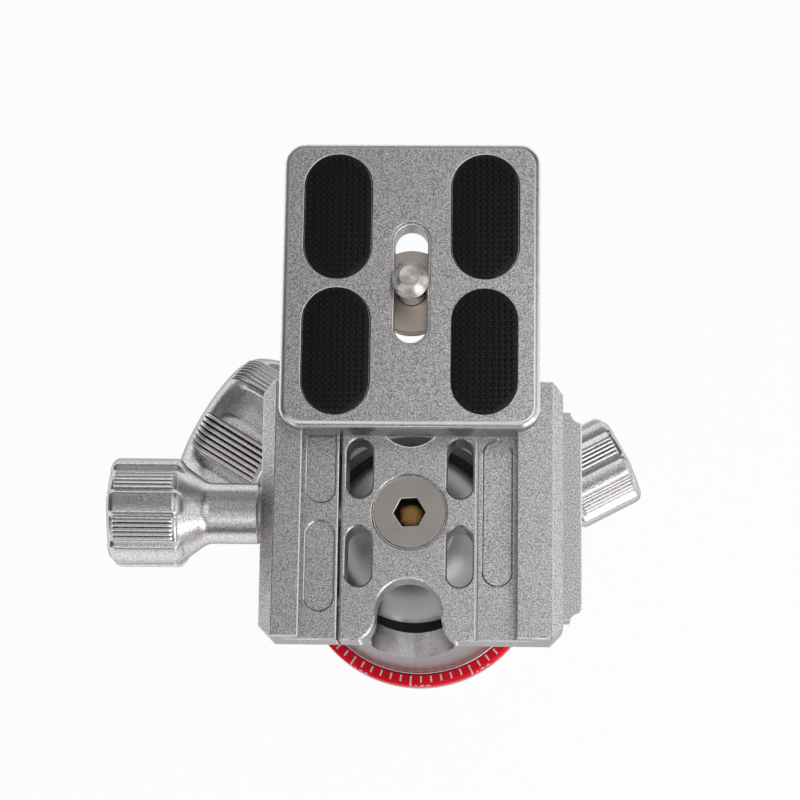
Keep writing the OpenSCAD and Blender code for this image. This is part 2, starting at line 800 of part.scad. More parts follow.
module camera_screw() {
    color(steel)
        translate([0, plate_y, 0])
            difference() {
                rotate_extrude()
                    polygon([[0, head_z], [head_r - 0.4, head_z], [head_r, head_z + 0.4],
                        [head_r, head_z + head_t], [neck_r, head_z + head_t], [neck_r, thread_z],
                        [thread_r, thread_z + 0.5], [thread_r, thread_z + thread_l - 1.1],
                        [thread_r - 1.1, thread_z + thread_l], [0, thread_z + thread_l]]);
                translate([-head_r - 1, -0.7, head_z - 1]) cube([2 * head_r + 2, 1.4, 2]);
            }
}

module lock_shoe() {
    color(brass)
        difference() {
            outwards(lock_dir, lock_z) {
                difference() {
                    translate([0, 0, ball_r / 2])
                        cylinder(r = lock_shoe_r, h = lock_in - gap - ball_r / 2);
                    translate([0, 0, lock_in - tip_l - gap])
                        cylinder(r = lock_stud_r - 1.5 + run, h = tip_l + 1);
                }
            }
            translate([0, 0, ball_z]) sphere(r = ball_r + run);
        }
}

module lock_stud() {
    from = lock_in - 0.2;
    to = bore_end(lock_neck_a, lock_face_z) - bore_gap;
    color(steel) outwards(lock_dir, lock_z) {
        translate([0, 0, from - tip_l]) cylinder(r = lock_stud_r - 1.5, h = tip_l + 1);
        translate([0, 0, from]) cylinder(r = lock_stud_r, h = to - from);
    }
}

module lock_knob() {
    color(silver) outwards(lock_dir, lock_z) rotate([0, 0, 30])
        lobed_knob(lock_knob_r, lock_neck_a, lock_face_z, lock_grip, lock_neck_r, 3, lock_edge, 9, 33, 2.4,
            lock_dome);
}

module pan_shoe() {
    color(brass)
        difference() {
            outwards(pan_dir, pan_z) {
                difference() {
                    translate([0, 0, spigot_r / 2])
                        cylinder(r = pan_shoe_r, h = pan_in - pan_seat - spigot_r / 2);
                    translate([0, 0, pan_in - tip_l - pan_seat])
                        cylinder(r = pan_stud_r - 1.2 + run, h = tip_l + 1);
                }
            }
            cylinder(r = spigot_r + run, h = 60);
        }
}

module pan_stud() {
    from = pan_in - pan_seat + 0.1;
    to = bore_end(pan_neck_a, pan_face_z) - bore_gap;
    color(steel) outwards(pan_dir, pan_z) {
        translate([0, 0, from - tip_l]) cylinder(r = pan_stud_r - 1.2, h = tip_l + 1);
        translate([0, 0, from]) cylinder(r = pan_stud_r, h = to - from);
    }
}

module pan_knob() {
    color(silver) outwards(pan_dir, pan_z) rotate([0, 0, 11])
        lobed_knob(pan_knob_r, pan_neck_a, pan_face_z, pan_grip, pan_neck_r, 3.4, pan_edge, 5, 27, 0,
            pan_dome);
}

base_plate();
scale_ring();
pan_washer();
pan_bolt();
thrust_washer();
housing();
ball_liner();
seat_block();
lock_bush();
pan_bush();
ball_pad();
ball();
clamp_base();
clamp_screw();
guide_pins();
jaw();
knob_washer();
clamp_stud();
clamp_knob();
plate();
plate_pads();
screw_washer();
camera_screw();
lock_shoe();
lock_stud();
lock_knob();
pan_shoe();
pan_stud();
pan_knob();
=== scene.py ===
import json
import math

import bmesh
import bpy
from mathutils import Matrix, Vector


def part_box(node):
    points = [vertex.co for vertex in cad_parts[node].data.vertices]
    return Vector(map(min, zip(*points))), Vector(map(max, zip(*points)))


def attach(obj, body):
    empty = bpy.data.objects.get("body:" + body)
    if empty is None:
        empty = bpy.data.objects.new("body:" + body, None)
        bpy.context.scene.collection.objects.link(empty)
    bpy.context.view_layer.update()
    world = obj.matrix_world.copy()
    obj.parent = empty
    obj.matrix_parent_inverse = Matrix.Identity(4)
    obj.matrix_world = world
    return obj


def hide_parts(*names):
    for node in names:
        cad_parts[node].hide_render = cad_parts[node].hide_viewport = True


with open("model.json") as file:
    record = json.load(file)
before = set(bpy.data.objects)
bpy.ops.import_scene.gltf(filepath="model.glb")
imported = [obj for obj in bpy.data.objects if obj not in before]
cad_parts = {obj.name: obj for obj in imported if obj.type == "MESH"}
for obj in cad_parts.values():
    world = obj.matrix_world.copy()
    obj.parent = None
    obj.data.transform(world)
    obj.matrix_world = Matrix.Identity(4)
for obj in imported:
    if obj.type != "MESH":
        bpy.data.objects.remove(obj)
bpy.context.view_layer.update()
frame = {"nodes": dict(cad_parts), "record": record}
nodes = frame["nodes"]
bodyOf = {n: b for b, ns in frame["record"]["behaviour"]["bodies"].items() for n in ns}
slotOf = {s["node"]: s["material_slot"] for s in frame["record"]["subparts"]}
scene = bpy.context.scene
mm = 0.001
print("frame loaded:", len(nodes), "nodes")


# camera

cameraSet = {
    "azimuth": 10.43, "elevation": 78.04, "roll": -9.8,
    "target": (-4.885, 35.825, -2.69), "distance": 478.86,
    "focalPixels": 2294.1, "imagePixels": 800, "sensor": 36, "clip": (0.01, 20),
}


def makeCamera(s):
    a, e, r = (math.radians(s[k]) for k in ("azimuth", "elevation", "roll"))
    back = Vector((math.sin(a) * math.cos(e), -math.cos(a) * math.cos(e), math.sin(e)))
    right = Vector((math.cos(a), math.sin(a), 0))
    up = back.cross(right)
    x = right * math.cos(r) + up * math.sin(r)
    y = up * math.cos(r) - right * math.sin(r)
    data = bpy.data.cameras.new("photoCamera")
    data.sensor_width = s["sensor"]
    data.lens = s["sensor"] * s["focalPixels"] / s["imagePixels"]
    data.clip_start, data.clip_end = s["clip"]
    cam = bpy.data.objects.new("photoCamera", data)
    turn = Matrix((x, y, back)).transposed().to_4x4()
    cam.matrix_world = Matrix.Translation((Vector(s["target"]) + back * s["distance"]) * mm) @ turn
    scene.collection.objects.link(cam)
    scene.camera = cam


makeCamera(cameraSet)
print("camera placed")


# shader maths on sockets

class Wire:
    def __init__(self, finish, socket):
        self.finish, self.socket = finish, socket

    def calc(self, op, *others, flip=False):
        terms = [self, *others]
        if flip:
            terms.reverse()
        return self.finish.node("ShaderNodeMath", {"operation": op}, dict(enumerate(terms)))

    def __add__(self, o): return self.calc("ADD", o)
    def __radd__(self, o): return self.calc("ADD", o, flip=True)
    def __sub__(self, o): return self.calc("SUBTRACT", o)
    def __rsub__(self, o): return self.calc("SUBTRACT", o, flip=True)
    def __mul__(self, o): return self.calc("MULTIPLY", o)
    def __rmul__(self, o): return self.calc("MULTIPLY", o, flip=True)
    def __truediv__(self, o): return self.calc("DIVIDE", o)
    def __rtruediv__(self, o): return self.calc("DIVIDE", o, flip=True)
    def __pow__(self, o): return self.calc("POWER", o)
    def __rpow__(self, o): return self.calc("POWER", o, flip=True)
    def sine(self): return self.calc("SINE")
    def root(self): return self.calc("SQRT")
    def atLeast(self, o): return self.calc("MAXIMUM", o)
    def atMost(self, o): return self.calc("MINIMUM", o)


shaderSockets = {
    "colour": "Base Color", "roughness": "Roughness", "metallic": "Metallic",
    "specular": "Specular IOR Level", "tint": "Specular Tint", "normal": "Normal",
}


class Finish:
    def __init__(self, name, tree=None):
        if tree is None:
            self.material = bpy.data.materials.new(name)
            self.material.use_nodes = True
            tree = self.material.node_tree
        self.tree = tree
        self.shader = tree.nodes.get("Principled BSDF")

    def node(self, kind, settings=None, sockets=None, out=0):
        n = self.tree.nodes.new(kind)
        for k, v in (settings or {}).items():
            if k == "stops":
                ramp = n.color_ramp
                while len(ramp.elements) < len(v):
                    ramp.elements.new(0.5)
                for spot, (at, colour) in zip(ramp.elements, v):
                    spot.position, spot.color = at, (*colour, 1)
            else:
                setattr(n, k, v)
        for k, v in (sockets or {}).items():
            self.feed(n.inputs[k], v)
        return Wire(self, n.outputs[out])

    def feed(self, socket, v):
        if isinstance(v, Wire):
            self.tree.links.new(v.socket, socket)
        else:
            socket.default_value = v

    def base(self, **values):
        for k, v in values.items():
            self.feed(self.shader.inputs[shaderSockets[k]], (*v, 1) if isinstance(v, tuple) else v)

    def place(self, offset=(0, 0, 0)):
        at = self.node("ShaderNodeTexCoord", out="Object")
        return self.node("ShaderNodeMapping", {"vector_type": "TEXTURE"},
                         {"Vector": at, "Location": tuple(c * mm for c in offset)})

    def noise(self, at, scale, detail, rough):
        return self.node("ShaderNodeTexNoise", {},
                         {"Vector": at, "Scale": scale, "Detail": detail, "Roughness": rough})

    def ramp(self, value, *stops):
        return self.node("ShaderNodeValToRGB", {"stops": stops}, {0: value})

    def tones(self, value, dark, light, low=0.3, high=0.7):
        return self.ramp(value, (low, dark), (high, light))

    def bump(self, height, depth):
        return self.node("ShaderNodeBump", {}, {"Height": height, "Distance": depth * mm, "Strength": 1.0})

    def axes(self, at):
        split = self.node("ShaderNodeSeparateXYZ", {}, {0: at}).socket.node
        return [Wire(self, o) for o in split.outputs]


def grey(v, warm=0.0):
    return (v * (1 + warm), v, v * (1 - warm))


silverTint = (1.015, 0.985, 0.995)


def silverGrey(v):
    return tuple(v * c for c in silverTint)


def blend(one, two, share):
    return one * share + two * (1 - share)


# finishes: each noise is given by its scale, detail and roughness, each depth of relief in millimetres

blastSet = {
    "fine": (5600, 1.0, 0.6), "coarse": (2800, 2.0, 0.5), "cloud": (60, 3.0, 0.5), "fineShare": 0.75,
    "tone": 0.59, "contrast": 0.54, "low": 0.38, "high": 0.62, "slantTone": 0.55,
    # valley and crest: darkest and lightest stops of the painted shade and highlight across knob ribs
    "valley": (0.10, 0.05), "crest": (0.90, 0.97), "roughness": 0.30, "spread": 0.10, "depth": 0.04,
}


def blastedAluminium(name, **changes):
    s = {**blastSet, **changes}
    f = Finish(name)
    at = f.place()
    fine, coarse, cloud = (f.noise(at, *s[k]) for k in ("fine", "coarse", "cloud"))
    speck = blend(fine, coarse, s["fineShare"])
    shade = speck
    stops = [(s["low"], s["tone"] * (1 - s["contrast"])), (s["high"], s["tone"] * (1 + s["contrast"]))]
    if "ridge" in s:  # painted highlight on rib crests, painted shade in the valleys
        shade = speck + f.node("ShaderNodeAttribute", {"attribute_name": "ridge"}, out="Fac") * s["ridge"]
        stops = [s["valley"], *stops, s["crest"]]
    f.base(
        colour=f.ramp(shade, *((spot, silverGrey(tone)) for spot, tone in stops)),
        roughness=s["roughness"] + s["spread"] * cloud + s["spread"] * fine - s["spread"],
        metallic=1.0,
        tint=grey(s["slantTone"]),
        normal=f.bump(speck, s["depth"]),
    )
    return f.material


edgeSet = {"haze": (900, 3.0, 0.6), "dark": 0.80, "light": 0.92, "roughness": 0.20, "spread": 0.14}


def polishedEdge(name, s):
    f = Finish(name)
    haze = f.noise(f.place(), *s["haze"])
    f.base(
        colour=f.tones(haze, grey(s["dark"]), grey(s["light"])),
        roughness=s["roughness"] + s["spread"] * haze,
        metallic=1.0,
    )
    return f.material


satinSet = {
    "fine": (3800, 1.0, 0.5), "cloud": (45, 3.0, 0.5), "cloudShare": 0.5,
    "tone": 0.30, "darker": 0.95, "lighter": 1.04, "warm": -0.004,
    "roughness": 0.30, "spread": 0.08, "depth": 0.006,
}


def satinAluminium(name, s):
    f = Finish(name)
    at = f.place()
    fine, cloud = f.noise(at, *s["fine"]), f.noise(at, *s["cloud"])
    f.base(
        colour=f.tones(blend(cloud, fine, s["cloudShare"]), grey(s["tone"] * s["darker"]),
                       grey(s["tone"] * s["lighter"], s["warm"])),
        roughness=s["roughness"] + s["spread"] * cloud,
        metallic=1.0,
        normal=f.bump(fine, s["depth"]),
    )
    return f.material


redSet = {
    "fine": (5200, 1.0, 0.5), "cloud": (120, 3.0, 0.5), "cloudShare": 0.6,
    "dark": (0.86, 0.012, 0.028), "light": (0.98, 0.020, 0.040), "slantTone": (0.80, 0.05, 0.07),
    "metallic": 0.6, "roughness": 0.40, "spread": 0.12, "depth": 0.008,
}


def redAnodised(name, s):
    f = Finish(name)
    at = f.place()
    fine, cloud = f.noise(at, *s["fine"]), f.noise(at, *s["cloud"])
    f.base(
        colour=f.tones(blend(cloud, fine, s["cloudShare"]), s["dark"], s["light"]),
        roughness=s["roughness"] + s["spread"] * fine,
        metallic=s["metallic"],
        tint=s["slantTone"],
        normal=f.bump(fine, s["depth"]),
    )
    return f.material


fillSet = {
    "worn": (2600, 2.0, 0.6), "dark": (0.62, 0.50, 0.50), "light": (0.86, 0.84, 0.83),
    "low": 0.25, "high": 0.5, "roughness": 0.5, "spread": 0.1,
}


def whiteFill(name, s):
    f = Finish(name)
    worn = f.noise(f.place(), *s["worn"])
    f.base(
        colour=f.tones(worn, s["dark"], s["light"], s["low"], s["high"]),
        roughness=s["roughness"] + s["spread"] * worn,
    )
    return f.material


plasticSet = {
    "fine": (2400, 2.0, 0.5), "dark": 0.006, "light": 0.010,
    "roughness": 0.38, "spread": 0.12, "specular": 0.35, "depth": 0.006,
}


def blackPlastic(name, s):
    f = Finish(name)
    fine = f.noise(f.place(), *s["fine"])
    f.base(
        colour=f.tones(fine, grey(s["dark"]), grey(s["light"])),
        roughness=s["roughness"] + s["spread"] * fine,
        specular=s["specular"],
        normal=f.bump(fine, s["depth"]),
    )
    return f.material


rubberSet = {
    "fine": (3200, 2.0, 0.6), "cloud": (160, 3.0, 0.5), "fineShare": 0.5,
    "dark": 0.002, "light": 0.005, "warm": -0.12,
    "roughness": 0.34, "spread": 0.14, "specular": 0.34, "depth": 0.01,
}


def blackRubber(name, s):
    f = Finish(name)
    at = f.place()
    fine, cloud = f.noise(at, *s["fine"]), f.noise(at, *s["cloud"])
    f.base(
        colour=f.tones(blend(fine, cloud, s["fineShare"]), grey(s["dark"], s["warm"]),
                       grey(s["light"], s["warm"])),
        roughness=s["roughness"] + s["spread"] * cloud,
        specular=s["specular"],
        normal=f.bump(fine, s["depth"]),
    )
    return f.material


turnedSet = {
    "fine": (3000, 2.0, 0.6), "ringShare": 0.6, "reliefShare": 0.8, "darker": 0.86, "low": 0.2, "high": 0.8,
    "spread": 0.10,
}


# rings cut by a lathe tool round an upright axis
def turnedMetal(name, s, centre, colour, roughness, pitch, depth):
    f = Finish(name)
    at = f.place(centre)
    x, y, z = f.axes(at)
    radius = (x * x + y * y).root()
    rings = (radius * (2 * math.pi / (pitch * mm))).sine() * 0.5 + 0.5
    fine = f.noise(at, *s["fine"])
    dark = tuple(c * s["darker"] for c in colour)
    f.base(
        colour=f.tones(blend(rings, fine, s["ringShare"]), dark, colour, s["low"], s["high"]),
        roughness=roughness + s["spread"] * fine,
        metallic=1.0,
        normal=f.bump(blend(rings, fine, s["reliefShare"]), depth),
    )
    return f.material


metalSet = {"fine": (2600, 2.0, 0.6), "darker": 0.88, "spread": 0.12, "depth": 0.006}


def plainMetal(name, s, colour, roughness):
    f = Finish(name)
    fine = f.noise(f.place(), *s["fine"])
    f.base(
        colour=f.tones(fine, tuple(c * s["darker"] for c in colour), colour),
        roughness=roughness + s["spread"] * fine,
        metallic=1.0,
        normal=f.bump(fine, s["depth"]),
    )
    return f.material


socketShadeSet = {
    "patch": (900, 3.0, 0.65), "fine": (3000, 2.0, 0.6), "patchShare": 0.8, "patchesOverShadeShare": 0.55,
    "offset": (0.25, -0.2, 0), "low": 0.36, "high": 0.66, "roughness": 0.24, "spread": 0.25, "depth": 0.08,
}


# colour darker in random patches and, as painted shade, out towards the walls
def socketPaintedShade(name, s, dark, light, fade):
    f = Finish(name)
    at = f.place(s["offset"])
    x, y, z = f.axes(at)
    patch, fine = f.noise(at, *s["patch"]), f.noise(at, *s["fine"])
    # painted shade: lighter in the middle, darker out to the fade radius
    near = 1.0 - ((x * x + y * y).root() / (fade * mm)).atMost(1.0) ** 2.0
    patchesAndShade = blend(blend(patch, fine, s["patchShare"]), near, s["patchesOverShadeShare"])
    f.base(
        colour=f.tones(patchesAndShade, dark, light, s["low"], s["high"]),
        roughness=s["roughness"] + s["spread"] * patch,
        metallic=1.0,
        normal=f.bump(patch, s["depth"]),
    )
    return f.material


finishes = {
    "silver": blastedAluminium("silverBlasted"),
    # knobs: ridge sets how strong the painted highlight on rib crests and the painted shade in valleys are
    "knobSilver": blastedAluminium("knobBlasted", tone=0.74, contrast=0.24, roughness=0.22, depth=0.025,
                                   slantTone=0.45, ridge=0.42),
    "ball_metal": satinAluminium("ballSatin", satinSet),
    "housing": blastedAluminium("housingBlasted", tone=0.50, contrast=0.36, roughness=0.32, depth=0.02),
    # notch walls: a lighter copy of the housing finish, partly their own brighter surface and partly painted
    # light where the trough catches the light
    "notch": blastedAluminium("notchBrightAndLit", tone=0.84, contrast=0.22, roughness=0.28, depth=0.02),
    "edge": polishedEdge("cutEdge", edgeSet),
    "red": redAnodised("redAnodised", redSet),
    "white": whiteFill("whiteScaleFill", fillSet),
    "black": blackPlastic("linerBlack", plasticSet),
    "rubber": blackRubber("padRubber", rubberSet),
    "steel": plainMetal("screwSteel", metalSet, (0.50, 0.48, 0.45), 0.30),
    "nickel": plainMetal("nickelPlate", metalSet, (0.62, 0.55, 0.49), 0.26),
    "brass": plainMetal("turnedBrass", metalSet, (0.70, 0.52, 0.24), 0.30),
    "clampScrew": turnedMetal("clampScrewSteel", turnedSet, centre=(0, 0, 0),
                              colour=(0.48, 0.44, 0.41), roughness=0.24, pitch=0.06, depth=0.005),
    # hex socket: floor and walls darker towards the corners, painted shade
    "socketFloor": socketPaintedShade("socketFloor", socketShadeSet, (0.012, 0.007, 0.004), (0.36, 0.20, 0.075), fade=2.4),
    "socketWall": socketPaintedShade("socketWall", socketShadeSet, (0.010, 0.007, 0.005), (0.26, 0.21, 0.17), fade=4.0),
    # gap round the screw head: near-black finish painted where there is only shade
    "crevice": socketPaintedShade("screwCrevice", socketShadeSet, (0.004, 0.004, 0.004), (0.03, 0.028, 0.026), fade=9.0),
    "cameraScrew": turnedMetal("cameraScrewSteel", turnedSet, centre=(0, 38.2, 0),
                               colour=(0.78, 0.74, 0.70), roughness=0.16, pitch=0.05, depth=0.005),
}
print("finishes made:", len(finishes))


# pieces and what they stand for

creaseAngle = 35


def paint(obj, *names):
    zones = [0] * len(obj.data.polygons)
    obj.data.polygons.foreach_get("material_index", zones)
    obj.data.materials.clear()
    for n in names:
        obj.data.materials.append(finishes[n])
    obj.data.polygons.foreach_set("material_index", zones)  # clearing the slots drops the zones


def keep(obj, node):
    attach(obj, bodyOf[node])
    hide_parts(node)


def newPiece(name, bm):
    mesh = bpy.data.meshes.new(name)
    bmesh.ops.recalc_face_normals(bm, faces=bm.faces)
    bm.to_mesh(mesh)
    bm.free()
    mesh.polygons.foreach_set("use_smooth", [True] * len(mesh.polygons))
    mesh.set_sharp_from_angle(angle=math.radians(creaseAngle))
    obj = bpy.data.objects.new(name, mesh)
    scene.collection.objects.link(obj)
    return obj


def joined(name, *objs):
    bm = bmesh.new()
    slots = []
    for o in objs:
        first = len(bm.faces)
        bm.from_mesh(o.data)
        bm.faces.ensure_lookup_table()
        for f in bm.faces[first:]:
            f.material_index += len(slots)
        slots += o.data.materials[:]
        bpy.data.objects.remove(o)
    obj = newPiece(name, bm)
    for m in slots:
        obj.data.materials.append(m)
    return obj


# faces between closed loops of the same length
def skinned(bm, loops):
    for one, two in zip(loops, loops[1:]):
        for i in range(len(one)):
            j = (i + 1) % len(one)
            bm.faces.new((one[i], one[j], two[j], two[i]))


# node trees for what repeats

class Tree:
    def __init__(self, name, **inputs):
        self.group = bpy.data.node_groups.new(name, "GeometryNodeTree")
        self.keys = {}
        for k, v in inputs.items():
            kind = {float: "NodeSocketFloat", int: "NodeSocketInt"}.get(type(v), "NodeSocketMaterial")
            sock = self.group.interface.new_socket(name=k, in_out="INPUT", socket_type=kind)
            self.keys[k] = (sock.identifier, v)
        self.group.interface.new_socket(name="Mesh", in_out="OUTPUT", socket_type="NodeSocketGeometry")
        self.entry = self.group.nodes.new("NodeGroupInput")
        self.exit = self.group.nodes.new("NodeGroupOutput")

    def given(self, name):
        return self.entry.outputs[name]

    def add(self, kind, sockets=None, settings=None):
        n = self.group.nodes.new(kind)
        for k, v in (settings or {}).items():
            setattr(n, k, v)
        for k, v in (sockets or {}).items():
            self.join(v, n.inputs[k])
        return n.outputs[0]

    def join(self, v, socket):
        if isinstance(v, bpy.types.NodeSocket):
            self.group.links.new(v, socket)
        else:
            socket.default_value = v

    def calc(self, op, a, b=0.0):
        return self.add("ShaderNodeMath", {0: a, 1: b}, {"operation": op})

    def plus(self, a, b): return self.calc("ADD", a, b)
    def minus(self, a, b): return self.calc("SUBTRACT", a, b)
    def times(self, a, b): return self.calc("MULTIPLY", a, b)

    def vector(self, x=0.0, y=0.0, z=0.0):
        return self.add("ShaderNodeCombineXYZ", {"X": x, "Y": y, "Z": z})

    def mesh(self, geometry, material, name):
        solid = self.add("GeometryNodeRealizeInstances", {"Geometry": geometry})
        painted = self.add("GeometryNodeSetMaterial", {"Geometry": solid, "Material": material})
        self.group.links.new(painted, self.exit.inputs[0])
        obj = bpy.data.objects.new(name, bpy.data.meshes.new(name))
        scene.collection.objects.link(obj)
        mod = obj.modifiers.new(name, "NODES")
        mod.node_group = self.group
        for identifier, v in self.keys.values():
            mod[identifier] = v
        shown = obj.evaluated_get(bpy.context.evaluated_depsgraph_get())
        made = bpy.data.meshes.new_from_object(shown)
        obj.modifiers.clear()
        obj.data = made
        return obj


# machined pieces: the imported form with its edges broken, the broken edges polished

machinedSet = {
    "plate": {"finish": "silver", "edge": 0.45, "angle": 28},
    # clamp_base: the gap round the screw head takes the crevice finish, painted shade
    "clamp_base": {"finish": "silver", "edge": 0.22, "angle": 24,
                   "zones": {"crevice": {"radius": 6.55, "under": 5.6}}},
    "jaw": {"finish": "silver", "edge": 0.22, "angle": 24},
    # housing: the notch walls take the lighter notch finish, partly painted light
    "housing": {"finish": "housing", "edge": 0.30, "angle": 32,
                "zones": {"notch": {"radius": 24, "under": 0.5, "reach": 9.8, "front": -12, "wall": 0.25}}},
    "base_plate": {"finish": "silver", "edge": 0.25, "angle": 30},
    "scale_ring": {"finish": "red", "edge": 0.15, "angle": 30, "edgeFinish": "red"},
    "ball": {"finish": "ball_metal", "edge": 0.20, "angle": 30},
    "ball_liner": {"finish": "black", "edge": 0.15, "angle": 30, "edgeFinish": "black"},
    # clamp_screw: the socket floor and walls take painted shade
    "clamp_screw": {"finish": "clampScrew", "edge": 0.18, "angle": 30,
                    "zones": {"socketFloor": {"radius": 2.95, "under": 0.5, "facing": 0.5},
                              "socketWall": {"radius": 2.95, "under": 0.5}}},
}
edgeSlot, firstZone = 1, 2
meshRule = {
    "weld": 0.001, "flat": 0.6, "slim": 0.62, "blendShare": 0.5, "sliver": 0.003,
    "shares": (1.0, 0.6, 0.35), "segments": 3, "profile": 0.5, "foldShare": 1.01, "foldArea": 1e-10,
}


def finishesOf(s):
    return [s["finish"], s.get("edgeFinish", "edge"), *s.get("zones", {})]


# slot of a face that lies inside a zone round the upright axis
def zoneOf(f, zones, top):
    middle = f.calc_center_median()
    for i, z in enumerate(zones.values(), firstZone):
        inside = middle.z < top - z["under"] * mm
        inside = inside and all(v.co.xy.length < z["radius"] * mm for v in f.verts)
        if "facing" in z:
            inside = inside and f.normal.z > z["facing"]
        if "reach" in z:  # walls of the notch that opens to the front
            inside = inside and middle.y < z["front"] * mm and abs(middle.x) < z["reach"] * mm
            inside = inside and abs(f.normal.y) < z["wall"]
        if inside:
            return i
    return 0


def sharpRims(f, angle):
    return [e for e in f.edges if len(e.link_faces) == 2 and e.is_convex and e.calc_face_angle(0) > angle]


# a chamfer that the solid already has is polished as it is
def slimChamfers(bm, angle, widest):
    slim = {}
    for f in bm.faces:
        lengths = [e.calc_length() for e in sharpRims(f, angle)]
        if len(lengths) > 1 and f.calc_area() / max(lengths) < widest:
            slim[f] = max(lengths)
    return slim


def edgeChains(edges):
    left = set(edges)
    chains = []
    while left:
        chain, ends = [], [left.pop()]
        while ends:
            e = ends.pop()
            chain.append(e)
            for v in e.verts:
                for other in v.link_edges:
                    if other in left:
                        left.remove(other)
                        ends.append(other)
        chains.append(sorted(chain, key=lambda e: e.index))
    return sorted(chains, key=lambda c: c[0].index)


def isFolded(bm):
    spread = {}
    for one, two, three in bm.calc_loop_triangles():
        area = (two.vert.co - one.vert.co).cross(three.vert.co - one.vert.co).length / 2
        spread[one.face] = spread.get(one.face, 0) + area
    share, spare = meshRule["foldShare"], meshRule["foldArea"]
    return any(area > f.calc_area() * share + spare for f, area in spread.items())


# every chain has room of its own; where it would fold a face over it gets narrower, and at last stays sharp
def beveled(bm, count, width):
    kept = 0
    for i in range(1, count + 1):
        for share in meshRule["shares"]:
            trial = bm.copy()
            number = trial.edges.layers.int["chain"]
            chain = [e for e in trial.edges if e[number] == i]
            bmesh.ops.bevel(trial, geom=chain, offset=width * share, offset_type="OFFSET", affect="EDGES",
                            segments=meshRule["segments"], profile=meshRule["profile"], clamp_overlap=True,
                            material=edgeSlot, loop_slide=True)
            for e in trial.edges:
                if e[number] == i:
                    e[number] = 0
            if not isFolded(trial):
                bm.free()
                bm = trial
                kept += 1
                break
            trial.free()
        else:
            number = bm.edges.layers.int["chain"]
            for e in bm.edges:
                if e[number] == i:
                    e.smooth = False
    print("rims", kept, "of", count)
    return bm


# faces round a corner, in groups that no sharp edge parts
def fansRound(v):
    left = set(v.link_faces)
    while left:
        fan, ends = [], [left.pop()]
        while ends:
            f = ends.pop()
            fan.append(f)
            for e in v.link_edges:
                if e.smooth and f in e.link_faces:
                    for other in e.link_faces:
                        if other in left:
                            left.remove(other)
                            ends.append(other)
        yield fan


# faces stay flat right up to a broken edge, which leads over from one to the other
def rimNormals(mesh, angle):
    bm = bmesh.new()
    bm.from_mesh(mesh)
    leans = {}
    for v in bm.verts:
        for fan in fansRound(v):
            faces = [f for f in fan if f.material_index != edgeSlot] or fan
            mean = sum((f.normal * f.calc_area() for f in faces), Vector()).normalized()
            agree = mean.length > 0 and all(f.normal.dot(mean) > math.cos(angle) for f in faces)
            for f in fan:
                leans[f.index, v.index] = mean if agree else f.normal.copy()
    mesh.normals_split_custom_set([leans[f.index, v.index] for f in bm.faces for v in f.verts])
    bm.free()


def machined(node, s):
    mesh = nodes[node].data.copy()
    mesh.name = node + "_dressed"
    obj = bpy.data.objects.new(node + "_dressed", mesh)
    scene.collection.objects.link(obj)
    bm = bmesh.new()
    bm.from_mesh(mesh)
    bmesh.ops.remove_doubles(bm, verts=bm.verts, dist=meshRule["weld"] * mm)
    bmesh.ops.dissolve_limit(bm, angle_limit=math.radians(meshRule["flat"]), verts=bm.verts, edges=bm.edges)
    if "below" in s:
        spare = [v for v in bm.verts if v.co.z > s["below"] * mm]
        bmesh.ops.delete(bm, geom=spare, context="VERTS")
        bmesh.ops.holes_fill(bm, edges=[e for e in bm.edges if e.is_boundary])
    bm.normal_update()
    number = bm.edges.layers.int.new("chain")
    bm.edges.index_update()
    angle = math.radians(s["angle"])
    slim = slimChamfers(bm, angle, meshRule["slim"] * mm)
    top = max(v.co.z for v in bm.verts)
    for f in bm.faces:
        f.smooth = True
        f.material_index = edgeSlot if f in slim else zoneOf(f, s.get("zones", {}), top)
    rims = []
    for e in bm.edges:
        if len(e.link_faces) == 2 and e.calc_face_angle(0) > angle:
            beside = [f for f in e.link_faces if f in slim]
            if e.is_convex and not beside:
                rims.append(e)
            else:  # a chamfer blends along its length and is sharp at its ends
                least = meshRule["blendShare"] * max((slim[f] for f in beside), default=0.0)
                e.smooth = e.is_convex and e.calc_length() > least
    chains = edgeChains(rims)
    for i, chain in enumerate(chains, 1):
        for e in chain:
            e[number] = i
    bm = beveled(bm, len(chains), s["edge"] * mm)
    bmesh.ops.dissolve_degenerate(bm, dist=meshRule["sliver"] * mm, edges=bm.edges)
    for f in bm.faces:
        f.smooth = True
    bm.to_mesh(mesh)
    bm.free()
    rimNormals(mesh, angle)
    paint(obj, *finishesOf(s))
    return obj


for name, s in machinedSet.items():
    made = machined(name, s)
    keep(made, name)
    print("machined", name, len(made.data.polygons), "faces")

for name, obj in nodes.items():
    if name not in machinedSet:
        paint(obj, slotOf[name])


# grip knobs: a turned body with six lobes, and ribs in the zones between them

knobSet = {
    "clamp_knob": {
        "direction": 180, "height": 71.1, "radius": 9.6, "start": 26.1, "end": 51.9, "grip": 12.3,
        "neck": 5.3, "shoulder": 4.4, "edge": 1.5, "dome": 0.4, "over": 1.0, "swell": 1.9, "fade": 0.0,
        "turn": 2, "ribs": 5, "span": 26, "ribEnd": 1.1, "around": 840,
    },
    "lock_knob": {
        "direction": 149, "height": 37.5, "radius": 16.6, "start": 22.3, "end": 45.4, "grip": 16,
        "neck": 7.5, "shoulder": 3, "edge": 4.5, "dome": 1.2, "over": 0.3, "swell": 2.2, "fade": 2.4,
        "turn": 13, "ribs": 7, "span": 27, "ribEnd": 0.9, "around": 1080,
    },
    "pan_knob": {
        "direction": 27.6, "height": 14.6, "radius": 9.4, "start": 22.5, "end": 45.2, "grip": 13.4,
        "neck": 5.2, "shoulder": 3.4, "edge": 1.6, "dome": 0.4, "over": 1.0, "swell": 1.9, "fade": 0.0,
        "turn": 19, "ribs": 5, "span": 26, "ribEnd": 1.1, "around": 840,
    },
}
